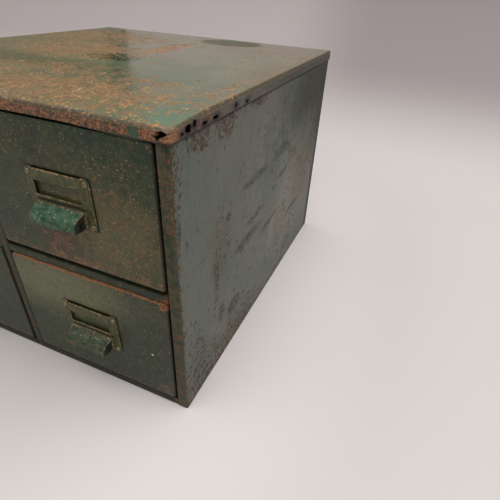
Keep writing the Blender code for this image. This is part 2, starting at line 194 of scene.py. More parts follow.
def add_light():
    world = bpy.data.worlds.new("studio")
    world.use_nodes = True
    background = world.node_tree.nodes["Background"]
    background.inputs["Color"].default_value = (1.0, 0.985, 0.975, 1.0)
    tree = world.node_tree
    direction = tree.nodes.new("ShaderNodeTexCoord")
    split = tree.nodes.new("ShaderNodeSeparateXYZ")
    upward = tree.nodes.new("ShaderNodeMapRange")
    upward.interpolation_type = "SMOOTHSTEP"
    for socket, value in (("From Min", -0.05), ("From Max", 0.75), ("To Min", 0.22), ("To Max", 1.05)):
        upward.inputs[socket].default_value = value
    tree.links.new(direction.outputs["Generated"], split.inputs[0])
    tree.links.new(split.outputs["Z"], upward.inputs["Value"])
    tree.links.new(upward.outputs[0], background.inputs["Strength"])
    SCENE.world = world
    area_light("overhead", (0.1, -0.15, 2.2), (0.1, -0.15, 0), (2.6, 2.6), 30, (1.0, 0.985, 0.97))
    area_light("right", (2.0, 0.5, 1.5), (0.2, 0, 0.05), (1.8, 1.8), 20, (1.0, 0.985, 0.97))


# ---------------------------------------------------------------- node materials

class Shade:
    """A material made of nodes. Positions are in millimetres, in the frame of the closed cabinet."""

    def __init__(self, name, specular=0.5):
        self.material = bpy.data.materials.new(name)
        self.material.use_nodes = True
        self.tree = self.material.node_tree
        self.shader = self.tree.nodes["Principled BSDF"]
        self.shader.inputs["Specular IOR Level"].default_value = specular
        place = self.tree.nodes.new("ShaderNodeTexCoord").outputs["Object"]
        self.p = self.vector("SCALE", place, scale=1000.0)
        split = self.tree.nodes.new("ShaderNodeSeparateXYZ")
        self.tree.links.new(self.p, split.inputs[0])
        self.x, self.y, self.z = split.outputs
        self.facing = self.tree.nodes.new("ShaderNodeSeparateXYZ")
        self.tree.links.new(self.tree.nodes.new("ShaderNodeTexCoord").outputs["Normal"], self.facing.inputs[0])

    def feed(self, socket, value):
        if isinstance(value, bpy.types.NodeSocket):
            self.tree.links.new(value, socket)
        elif socket.type == "RGBA":
            socket.default_value = (*value, 1.0)
        else:
            socket.default_value = value

    def vector(self, operation, a, b=None, scale=None):
        node = self.tree.nodes.new("ShaderNodeVectorMath")
        node.operation = operation
        self.feed(node.inputs[0], a)
        if b is not None:
            self.feed(node.inputs[1], b)
        if scale is not None:
            self.feed(node.inputs["Scale"], scale)
        return node.outputs["Value" if operation in ("LENGTH", "DISTANCE", "DOT_PRODUCT") else "Vector"]

    def math(self, operation, a, b=0.0):
        node = self.tree.nodes.new("ShaderNodeMath")
        node.operation = operation
        self.feed(node.inputs[0], a)
        self.feed(node.inputs[1], b)
        return node.outputs[0]

    def chain(self, operation, values):
        return reduce(lambda total, value: self.math(operation, total, value), values)

    def add(self, *values):
        return self.chain("ADD", values)

    def times(self, *values):
        return self.chain("MULTIPLY", values)

    def most(self, *values):
        return self.chain("MAXIMUM", values)

    def flip(self, value):
        return self.math("SUBTRACT", 1.0, value)

    def step(self, value, low, high):
        """0 at low, 1 at high, smooth between; low may be above high."""
        node = self.tree.nodes.new("ShaderNodeMapRange")
        node.interpolation_type = "SMOOTHSTEP"
        self.feed(node.inputs["Value"], value)
        self.feed(node.inputs["From Min"], low)
        self.feed(node.inputs["From Max"], high)
        return node.outputs[0]

    def mix(self, factor, a, b, kind="RGBA", first_input=6, output=2):
        """Colour a where factor is 0, and b where it is 1."""
        node = self.tree.nodes.new("ShaderNodeMix")
        node.data_type = kind
        self.feed(node.inputs["Factor"], factor)
        self.feed(node.inputs[first_input], a)
        self.feed(node.inputs[first_input + 1], b)
        return node.outputs[output]

    def blend(self, factor, a, b):
        """The same for plain numbers."""
        return self.mix(factor, a, b, "FLOAT", 2, 0)

    def tones(self, value, low, high, first, second):
        """The first display colour where value is at low, and the second where it is at high."""
        return self.mix(self.step(value, low, high), srgb(*first), srgb(*second))

    def in_cells(self, place, size, stretch, seed):
        """place counted in cells of that size, somewhere else for each seed."""
        place = self.vector("MULTIPLY", place, tuple(1 / size / s for s in stretch))
        return self.vector("ADD", place, (seed * 7.3, seed * 3.1, seed * 5.7))

    def cloud(self, place, scale, detail, roughness, bend=0.0):
        node = self.tree.nodes.new("ShaderNodeTexNoise")
        self.feed(node.inputs["Vector"], place)
        node.inputs["Scale"].default_value = scale
        node.inputs["Detail"].default_value = detail
        node.inputs["Roughness"].default_value = roughness
        node.inputs["Distortion"].default_value = bend
        return node

    def noise(self, size, detail=3.0, roughness=0.6, stretch=(1, 1, 1), seed=0.0, bend=0.0):
        """Cloudy noise about 0.5. Its features are about as large as size, and longer along an axis where stretch
        is over 1."""
        return self.cloud(self.in_cells(self.p, size, stretch, seed), 1.0, detail, roughness, bend).outputs[0]

    def scattered(self, place):
        """The distance to the nearest of scattered points, and three numbers from 0 to 1 of that point's own."""
        node = self.tree.nodes.new("ShaderNodeTexVoronoi")
        self.feed(node.inputs["Vector"], place)
        node.inputs["Scale"].default_value = 1.0
        split = self.tree.nodes.new("ShaderNodeSeparateColor")
        self.tree.links.new(node.outputs["Color"], split.inputs[0])
        return node.outputs["Distance"], split.outputs

    def specks(self, size, radius, share, seed=0.0, stretch=(1, 1, 1)):
        """Small dots, about size apart, of a radius in cell sizes; share is how many of the places hold one."""
        distance, own = self.scattered(self.in_cells(self.p, size, stretch, seed))
        keep = self.math("LESS_THAN", own[0], share)
        near = self.math("MULTIPLY", own[1], radius)
        return self.times(keep, self.step(distance, self.add(near, radius * 0.5), near))

    def flakes(self, size, radius, share, seed=0.0, stretch=(1, 1, 1)):
        """Ragged flakes, about size apart, of a radius in cell sizes; share is how many of the places hold one.
        Gives the mask, and a number from 0 to 1 of each flake's own."""
        ragged = self.cloud(self.p, 1.3 / size, 3.0, 0.75).outputs["Color"]
        push = self.vector("SCALE", ragged, scale=size * 1.5)
        distance, own = self.scattered(self.in_cells(self.vector("ADD", self.p, push), size, stretch, seed))
        keep = self.math("LESS_THAN", own[0], share)
        reach = self.times(self.add(own[1], 0.5), radius)
        mask = self.times(keep, self.step(distance, reach, self.times(reach, 0.6)))
        return mask, own[2]

    def blob(self, centre, radii, warp=0.5, soft=0.6, seed=0.0, size=None):
        """A rounded patch that a noise makes ragged: 1 inside, 0 outside."""
        offset = self.vector("SUBTRACT", self.p, centre)
        scaled = self.vector("MULTIPLY", offset, tuple(1 / r for r in radii))
        distance = self.vector("LENGTH", scaled)
        ragged = self.noise(size or min(radii) * 0.6, 4, 0.65, seed=seed)
        distance = self.add(distance, self.times(self.add(ragged, -0.5), warp * 2))
        return self.step(distance, 1 + soft / 2, 1 - soft / 2)

    def on_top(self, centre, radii, *look):
        """A blob at a place on the lid's top, whatever the height."""
        return self.blob((*centre, TOP_Z), (*radii, THROUGH), *look)

    def on_side(self, centre, radii, *look, **size):
        """A blob at a place on the right side, whatever the depth."""
        return self.blob((SIDE_X, *centre), (THROUGH, *radii), *look, **size)

    def band(self, value, low, high, soft):
        """1 where value lies between low and high."""
        return self.times(self.step(value, low - soft, low + soft), self.step(value, high + soft, high - soft))

    def rust(self, seed):
        """The colour of rust: brown, with orange and ochre grains."""
        fine = self.noise(1.3, 4, 0.7, seed=seed)
        broad = self.noise(9, 3, 0.6, seed=seed + 1)
        colour = self.tones(broad, 0.35, 0.65, (92, 52, 34), (128, 74, 44))
        colour = self.mix(self.times(self.step(fine, 0.5, 0.68), 0.8), colour, srgb(176, 108, 60))
        return self.mix(self.times(self.step(fine, 0.46, 0.34), 0.5), colour, srgb(46, 27, 20))

    def colour(self, socket):
        self.feed(self.shader.inputs["Base Color"], socket)

    def roughness(self, socket):
        self.feed(self.shader.inputs["Roughness"], socket)

    def bump(self, height, distance):
        """Height is in units of distance, in metres."""
        node = self.tree.nodes.new("ShaderNodeBump")
        node.inputs["Strength"].default_value = 1.0
        node.inputs["Distance"].default_value = distance
        self.feed(node.inputs["Height"], height)
        self.tree.links.new(node.outputs[0], self.shader.inputs["Normal"])


def lid_material():
    """Green-grey paint, half gloss, under hazes, flakes and patches of orange rust. The lip is rustier still."""
    m = Shade("lid")
    top = m.step(m.z, 295.4, 297.4)
    tone = m.noise(55, 4, 0.55, seed=1)
    fine = m.noise(5, 5, 0.7, seed=2)
    paint = m.tones(tone, 0.36, 0.64, (88, 98, 78), (108, 108, 88))
    paint = m.mix(m.times(m.step(fine, 0.46, 0.66), 0.4), paint, srgb(120, 112, 88))
    teal = m.most(
        m.on_top((192, -193), (28, 15), 0.5, 0.8, 3),
        m.times(m.on_top((150, -170), (50, 34), 0.6, 1.0, 4), 0.6),
        m.times(m.on_top((60, -70), (120, 60), 0.5, 1.2, 5), 0.3),
    )
    paint = m.mix(m.times(teal, 0.85), paint, srgb(76, 110, 86))
    # Painted reflection: darker green patches on the top, left of where the card's dark edge is mirrored.
    dark_reflection = m.most(
        m.times(m.on_top((6, -24), (34, 22), 0.5, 0.8, 6), 1.2),
        m.times(m.on_top((84, -130), (60, 40), 0.6, 0.9, 7), 0.45),
        m.times(m.on_top((-40, -90), (120, 26), 0.6, 0.9, 37), 0.6),
    )
    paint = m.mix(m.times(dark_reflection, 0.75), paint, srgb(34, 58, 36))
    brown = m.most(
        m.on_top((140, 160), (90, 70), 0.4, 1.4, 40),
        m.times(m.step(m.x, 150, 200), m.step(m.y, -120, -20)),
    )
    paint = m.mix(m.times(brown, 0.6), paint, srgb(96, 78, 46))
    fleck = m.most(
        m.blob((90.5, -167, TOP_Z), (1.3, 1.6, 9), 0.2, 0.4, 41),
        m.blob((167, -213.4, TOP_Z), (1.0, 1.3, 1.0), 0.2, 0.4, 42),
    )
    stain = m.on_top((58, 190), (46, 34), 0.4, 0.35, 7)
    paint = m.mix(m.times(stain, 0.7), paint, srgb(52, 60, 44))

    # Where rust is likely
    heavy = m.most(
        m.on_top((56, -180), (98, 44), 0.5, 1.3, 8),
        m.times(m.on_top((20, -110), (60, 34), 0.6, 1.3, 25), 0.8),
        m.on_top((-90, -160), (110, 45), 0.5, 1.3, 9),
        m.on_top((-60, 0), (80, 60), 0.6, 1.2, 10),
        m.on_top((18, 78), (15, 62), 0.5, 1.0, 11),
        m.times(m.on_top((-110, 120), (80, 80), 0.6, 1.2, 12), 0.8),
    )
    some = m.most(
        m.times(m.on_top((136, -150), (64, 48), 0.5, 1.2, 13), 1.7),
        m.times(m.on_top((158, 60), (30, 90), 0.6, 1.2, 14), 0.3),
        m.times(m.on_top((191, -90), (5, 60), 0.4, 0.8, 15), 1.2),
        m.times(m.on_top((-10, 150), (40, 50), 0.6, 1.2, 26), 0.5),
    )
    corner = m.blob((197, -211, 298), (26, 7, 12), 0.5, 1.0, 19)
    right_edge = m.times(m.step(m.x, 200, 204.5), m.step(m.y, 60, -120))
    patch = m.step(m.noise(13, 4, 0.68, seed=17), 0.4, 0.6)
    likely = m.add(
        m.times(heavy, 0.62), m.times(some, patch, 0.5), m.times(right_edge, 0.15), m.times(corner, 0.6), 0.02
    )
    likely = m.times(likely, m.blend(patch, 0.55, 1.15))
    haze = m.add(m.noise(26, 4, 0.66, seed=18), m.times(heavy, 0.18), m.times(some, 0.05))
    haze = m.step(haze, 0.52, 0.78)
    base = m.mix(m.times(haze, 0.65), paint, srgb(128, 98, 66))
    streak = m.times(m.on_top((20, 78), (14, 60), 0.5, 1.0, 11), m.step(m.noise(7, 4, 0.7, seed=38), 0.36, 0.6))
    base = m.mix(m.times(streak, 0.75), base, srgb(158, 108, 76))
    large, large_own = m.flakes(7.5, 0.45, m.times(likely, m.step(m.x, 200, 192), 0.75), seed=20)
    front_edge = m.times(m.step(m.y, -196, -213), m.blend(patch, 0.25, 0.75))
    small, small_own = m.flakes(3.2, 0.5, m.add(likely, front_edge), seed=21)
    tiny, tiny_own = m.flakes(1.7, 0.5, m.add(m.times(likely, 0.9), front_edge, m.times(right_edge, 0.6)), seed=22)
    deep = m.times(m.step(m.add(m.noise(12, 5, 0.72, seed=27), m.times(heavy, 0.06)), 0.59, 0.68), heavy)
    pit, pit_own = m.flakes(2.4, 0.45, m.times(heavy, 0.3), seed=39)

    # The lip
    front_lip = m.times(m.step(m.y, -212.8, -214.2), m.flip(top))
    side_lip = m.times(m.step(m.math("ABSOLUTE", m.x), 204.0, 205.4), m.flip(top))
    lip_low = m.step(m.add(m.z, m.times(m.noise(3, 3, seed=31), 3)), 292.2, 290.6)
    lip_grain = m.noise(3.6, 5, 0.74, seed=23)
    lip_green = m.blob((178, -215, 293), (3.8, 9, 6.5), 0.9, 0.6, 28, size=7)
    lip_rust = m.add(lip_grain, m.times(corner, 0.3), m.times(lip_green, -0.8), m.times(lip_low, -0.05))
    lip_rust = m.step(lip_rust, 0.43, 0.48)
    side_grain = m.noise(2.2, 5, 0.76, seed=29)
    near_front = m.step(m.y, -70, -205)
    soot = m.most(
        *[
            m.blob(centre, (THROUGH, radii[1] + 4, radii[2] + 2.5), 0.6, 1.0, 120 + number)
            for number, (centre, radii) in enumerate(HOLES[:-3])
        ]
    )
    side_rust = m.step(m.add(side_grain, m.times(near_front, 0.12), m.times(corner, 0.2)), 0.55, 0.62)
    grey = m.tones(m.noise(14, 3, seed=35), 0.35, 0.65, (78, 80, 72), (64, 66, 58))
    grey = m.mix(m.times(m.step(m.y, -60, 60), 0.75), grey, srgb(42, 44, 38))
    # Painted shadow: a dark line along the lip's lower edge, where the lip stands proud of the side.
    lip_gap_shadow = m.times(m.band(m.z, 287.0, 288.7, 0.3), m.step(m.y, 200, 60), 0.9)
    base = m.mix(side_lip, base, grey)
    lip_paint = m.tones(m.noise(4, 4, 0.7, seed=32), 0.4, 0.6, (20, 26, 13), (60, 70, 44))
    base = m.mix(m.times(front_lip, 0.95), base, m.mix(lip_green, lip_paint, srgb(44, 66, 42)))

    # The colours, one over another
    tint = m.noise(2.0, 5, 0.78, seed=33)
    hue = m.noise(24, 3, 0.6, seed=34)
    rusty = m.tones(hue, 0.4, 0.6, (142, 82, 48), (140, 104, 54))
    rusty = m.mix(m.times(m.step(tint, 0.5, 0.62), 0.6), rusty, srgb(178, 134, 76))
    face = m.times(top, m.flip(side_lip))
    colour = m.mix(m.times(large, face, 0.85), base, m.mix(large_own, srgb(124, 74, 46), rusty))
    colour = m.mix(m.times(small, face, 0.9), colour, m.mix(small_own, srgb(118, 78, 45), srgb(176, 136, 78)))
    colour = m.mix(m.times(tiny, face, 0.8), colour, m.mix(tiny_own, srgb(86, 54, 34), srgb(184, 152, 98)))
    colour = m.mix(m.times(deep, face, 0.6), colour, srgb(98, 56, 38))
    colour = m.mix(m.times(pit, face, 0.75), colour, m.mix(pit_own, srgb(36, 52, 32), srgb(70, 44, 28)))
    lip_tone = m.tones(tint, 0.42, 0.58, (66, 42, 28), (156, 104, 70))
    lip_tone = m.mix(m.times(m.step(m.noise(1.6, 3, 0.7, seed=36), 0.58, 0.66), 0.75), lip_tone, srgb(24, 20, 12))
    lip_mask = m.most(m.times(front_lip, lip_rust), m.times(side_lip, side_rust))
    colour = m.mix(m.times(lip_mask, 0.9), colour, lip_tone)
    bare = m.times(
        m.band(m.z, 298.4, 299.9, 0.4), m.step(m.y, -213.4, -214.5), m.step(m.noise(8, 4, 0.7, seed=24), 0.4, 0.55)
    )
    colour = m.mix(m.times(bare, 0.55), colour, srgb(164, 138, 108))
    colour = m.mix(m.times(soot, side_lip, 0.7), colour, srgb(28, 20, 15))
    rust_mask = m.most(m.times(m.most(large, small, deep), face), lip_mask)
    colour = m.mix(m.times(fleck, 0.8), colour, srgb(204, 200, 186))
    edge = m.most(m.step(m.math("ABSOLUTE", m.x), 203.2, 204.6), m.step(m.y, -212.2, -213.4))
    smooth_paint = m.flip(m.times(rust_mask, 0.7))
    # Painted shade: the top's rounded edges are darker, which damps their gloss highlight; worn tan shows in it
    # too.
    rounded = m.times(m.band(m.z, 296.6, 299.8, 0.2), edge, m.flip(front_lip), smooth_paint)
    shaded_worn_round = m.tones(tint, 0.42, 0.58, (38, 38, 28), (84, 66, 44))
    m.colour(m.mix(m.times(rounded, 0.85), m.mix(lip_gap_shadow, colour, srgb(14, 13, 10)), shaded_worn_round))
    gloss = m.blend(stain, m.blend(haze, 0.17, 0.34), 0.5)
    m.roughness(m.blend(rust_mask, m.blend(m.most(side_lip, rounded), gloss, 0.68), 0.72))
    swell = m.noise(40, 2, 0.5, seed=23)
    pitted = m.times(m.noise(0.9, 3, 0.7, seed=24), rust_mask)
    m.bump(m.add(m.times(rust_mask, 0.8), pitted, m.times(swell, 0.8)), 0.0002)
    return m.material


def side_material():
    """A flat grey overpaint, brushed upright and wiped level. The folded stile in front keeps its dark green."""
    m = Shade("side", specular=0.3)
    ax = m.math("ABSOLUTE", m.x)
    edge_wave = m.times(m.add(m.noise(11, 4, 0.65, seed=30), -0.5), 7)
    wall = m.most(m.step(ax, 203.6, 204.4), m.times(m.step(ax, 198.2, 198.8), m.step(m.y, -60, -50)))
    outer = m.times(wall, m.step(m.add(m.y, edge_wave), -213.2, -212.0))
    strokes = m.noise(1.9, 4, 0.72, stretch=(1, 1, 4), seed=31, bend=0.9)
    wide_strokes = m.noise(8, 3, 0.6, stretch=(1, 1, 2.6), seed=32, bend=0.9)
    wiped = m.noise(6.5, 4, 0.65, stretch=(1, 4, 1), seed=35, bend=0.6)
    cloud = m.noise(70, 3, 0.55, seed=33)
    grey = m.tones(cloud, 0.35, 0.65, (76, 82, 75), (90, 88, 80))
    grey = m.mix(m.times(m.step(m.y, -110, -190), 0.6), grey, srgb(80, 88, 80))
    grey = m.mix(m.times(m.on_side((110, 115), (75, 60), 0.3, 1.2, 58), 0.65), grey, srgb(108, 103, 90))
    grey = m.mix(m.times(m.on_side((150, 140), (32, 50), 0.5, 1.2, 34), 0.55), grey, srgb(92, 90, 64))
    rear_top = m.most(m.on_side((180, 262), (130, 48), 0.4, 1.4, 59), m.step(m.y, 203, 224))
    cloudy = m.on_side((100, 222), (110, 44), 0.5, 1.4, 92)
    cloudy = m.times(cloudy, m.step(m.noise(16, 4, 0.7, seed=93), 0.4, 0.6))
    rear_top = m.most(rear_top, m.times(cloudy, 0.4), m.times(m.step(m.y, 120, 220), m.step(m.z, 120, 230)))
    grey = m.mix(m.times(rear_top, 0.8), grey, srgb(44, 43, 38))
    # Painted highlight: a paler area on the slope above and behind the dent.
    ridge_highlight = m.on_side((62, 120), (30, 76), 0.3, 1.6, 81, size=40)
    grey = m.mix(m.times(ridge_highlight, 0.4), grey, srgb(112, 110, 98))
    # The dent: a painted highlight inside it, and a painted shadow along its steep front edge
    dent_highlight = m.on_side((26, 82), (13, 30), 0.3, 1.4, 94)
    dent_shadow = m.on_side((7, 62), (2.6, 15), 0.5, 1.2, 95, size=18)
    grey = m.mix(m.times(dent_highlight, 0.45), grey, srgb(124, 121, 108))
    grey = m.mix(m.times(dent_shadow, 0.6), grey, srgb(40, 41, 36))
    grey = m.mix(m.times(m.step(wide_strokes, 0.46, 0.68), 0.4), grey, srgb(62, 68, 58))
    broken = m.step(m.noise(22, 3, 0.6, seed=82), 0.44, 0.6)
    grey = m.mix(m.times(m.step(strokes, 0.52, 0.68), m.blend(broken, 0.08, 0.4)), grey, srgb(54, 60, 52))
    grey = m.mix(m.times(m.step(strokes, 0.46, 0.32), m.blend(broken, 0.25, 0.1)), grey, srgb(112, 112, 102))
    smears = m.most(
        *[
            m.on_side((y, z), (half_y, half_z), 0.55, 0.9, 60 + number)
            for number, (y, z, half_y, half_z) in enumerate(SMEARS)
        ]
    )
    loose = m.times(m.step(m.y, -120, 40), 0.12)
    grit = m.step(m.noise(2.4, 4, 0.78, stretch=(1, 1.6, 1), seed=84), 0.44, 0.54)
    scar_zone = m.most(
        m.times(m.on_side((172, 160), (44, 60), 0.5, 0.8, 86), 1.5),
        m.times(m.on_side((90, 190), (80, 50), 0.5, 0.8, 87), 0.6),
        m.times(m.on_side((90, 70), (60, 50), 0.5, 0.8, 88), 0.5),
        m.times(m.on_side((-90, 110), (60, 60), 0.5, 0.8, 89), 0.3),
    )
    scar, _ = m.flakes(5.5, 0.46, m.times(scar_zone, 0.5), seed=90, stretch=(1, 1.7, 1))
    smear_mask = m.most(
        m.times(smears, m.step(wiped, 0.4, 0.5), m.blend(grit, 0.4, 1.0)),
        m.times(m.step(m.add(wiped, loose), 0.58, 0.7), m.step(cloud, 0.42, 0.66), m.blend(grit, 0.25, 0.7)),
    )
    scuff, _ = m.flakes(1.6, 0.55, m.times(m.most(smears, 0.06), 0.6), seed=83)
    smear_mask = m.most(smear_mask, m.times(scuff, 0.7), m.times(scar, 0.8))
    grey = m.mix(m.times(smear_mask, 0.76), grey, srgb(26, 28, 23))
    nick = m.specks(9, 0.2, 0.4, seed=41, stretch=(1, 0.5, 1.5))
    grey = m.mix(m.times(nick, 0.8), grey, srgb(20, 21, 17))

    olive = m.most(
        m.on_side((-137, 158), (20, 40), 0.6, 1.0, 46),
        m.on_side((-112, 20), (30, 16), 0.6, 1.0, 45),
        m.on_side((-165, 45), (18, 12), 0.6, 1.0, 44),
        m.times(m.on_side((-145, 118), (7, 26), 0.5, 1.0, 43), 0.9),
        m.times(m.on_side((150, 150), (56, 56), 0.6, 1.0, 42), 0.8),
    )
    grey = m.mix(m.times(olive, m.step(m.noise(2.2, 4, 0.78, seed=47), 0.44, 0.54), 0.8), grey, srgb(58, 56, 36))

    tan, _ = m.flakes(2.2, 0.36, m.times(m.most(olive, 0.02), 0.4), seed=91)
    grey = m.mix(m.times(tan, 0.6), grey, srgb(124, 108, 74))
    share = m.add(
        m.times(m.step(m.z, 278, 288), m.step(m.y, -20, -150), 0.25),
        m.times(m.on_side((-174, 283), (16, 12), 0.6, 0.7, 48), 1.2),
        m.times(m.on_side((-128, 282), (18, 14), 0.6, 0.7, 49), 1.4),
        m.times(m.on_side((-50, 285), (24, 6), 0.6, 0.7, 50), 0.9),
        m.times(m.on_side((-190, 40), (20, 46), 0.6, 1.2, 51), 0.5),
        m.times(m.on_side((-110, 16), (80, 24), 0.6, 1.2, 52), 0.5),
        m.times(m.on_side((-137, 166), (14, 32), 0.6, 1.0, 53), 0.12),
        m.times(m.step(m.z, 16, 1), 0.5),
        m.times(m.step(m.y, -206, -213), 0.4),
        m.times(m.on_side((-212, 256), (9, 30), 0.5, 0.8, 54), 0.4),
    )
    share = m.times(share, m.step(m.noise(7, 4, 0.7, seed=55), 0.34, 0.58))
    flake, flake_own = m.flakes(3.0, 0.72, share, seed=78)
    crumb, _ = m.flakes(1.5, 0.65, share, seed=79)
    side_rust = m.most(flake, crumb)
    # Painted shadow: a dark line on the side just below the lid's lip, which stands proud of it.
    darkened = m.times(m.band(m.z, 285.6, 288.2, 0.5), m.step(m.y, 215, 120), 0.8)

    # The stile
    green = m.tones(m.noise(8, 4, 0.7, seed=56), 0.4, 0.6, (35, 46, 31), (66, 64, 43))
    stile_share = m.add(
        0.08,
        m.times(m.step(ax, 201.5, 204.5), 0.35),
        m.times(m.step(ax, 195.5, 193.3), 0.3),
        m.times(m.blob((199, -213, 66), (14, 20, 40), 0.4, 0.8, 57), 0.35),
        m.times(m.blob((200, -213, 245), (12, 20, 44), 0.5, 0.8, 71), 0.4),
        m.times(m.blob((194, -213, 147), (5, 20, 6), 0.3, 0.5, 72), 1.0),
        m.times(m.blob((198, -213, 292), (14, 20, 9), 0.3, 0.5, 73), -0.5),
    )
    stile_large, stile_own = m.flakes(4.2, 0.52, stile_share, seed=74)
    stile_small, _ = m.flakes(1.9, 0.52, stile_share, seed=80)
    stile_rust = m.most(stile_large, stile_small)
    rust_mask = m.blend(outer, stile_rust, side_rust)
    base = m.mix(outer, green, grey)
    tint = m.noise(1.8, 4, 0.76, seed=75)
    rust = m.mix(m.step(tint, 0.4, 0.6), srgb(56, 39, 28), m.mix(outer, srgb(116, 76, 52), srgb(100, 70, 48)))
    pale = m.times(m.step(tint, 0.54, 0.64), m.flip(outer), m.step(stile_own, 0.3, 0.8))
    rust = m.mix(pale, rust, srgb(150, 108, 74))
    rust = m.mix(m.times(outer, m.step(flake_own, 0.3, 0.7), 0.75), rust, srgb(40, 32, 24))
    colour = m.mix(m.times(rust_mask, 0.85), base, rust)
    m.colour(m.mix(m.times(darkened, outer), colour, srgb(22, 20, 16)))
    dull = m.times(m.most(rear_top, m.times(smear_mask, 0.45)), outer)
    m.roughness(m.blend(rust_mask, m.blend(dull, 0.47, 0.85), 0.8))
    height = m.add(
        m.times(outer, strokes, 0.5),
        m.times(outer, wide_strokes, 1.6),
        m.times(outer, m.noise(6, 3, 0.6, seed=85), 2.0),
        m.times(outer, wiped, 1.5),
        m.times(rust_mask, m.noise(0.9, 3, 0.7, seed=76), 1.2),
        m.times(nick, outer, -2.4),
        m.times(m.noise(60, 2, seed=77), 6.0),
    )
    m.bump(height, 0.00016)
    return m.material


def frame_material():
    """The mullion and the rails: dark green, rusty where they meet the stiles."""
    m = Shade("frame", specular=0.25)
    ax = m.math("ABSOLUTE", m.x)
    green = m.tones(m.noise(9, 4, 0.6, seed=60), 0.4, 0.62, (38, 46, 32), (52, 56, 38))
    grain = m.noise(5, 4, 0.65, seed=61)
    bias = m.add(
        m.times(m.step(ax, 184, 192), 0.12),
        m.times(m.step(ax, 6.5, 4), 0.05),
    )
    # Painted shade: below 13 mm, under the lower drawers, the frame is darkened almost to black.
    green = m.mix(m.times(m.step(m.z, 13, 9), 0.75), green, srgb(18, 22, 14))
    rust_mask = m.step(m.add(grain, bias), 0.6, 0.68)
    speck = m.specks(5, 0.12, 0.25, seed=62)
    base = m.mix(m.times(speck, 0.7), green, srgb(132, 138, 112))
    m.colour(m.mix(m.times(rust_mask, 0.9), base, m.rust(63)))
    m.roughness(m.blend(rust_mask, 0.5, 0.8))
    height = m.add(m.times(rust_mask, m.noise(1, 3, 0.7, seed=64), 1.2), m.times(m.noise(30, 2, seed=65), 2.0))
    m.bump(height, 0.00015)
    return m.material


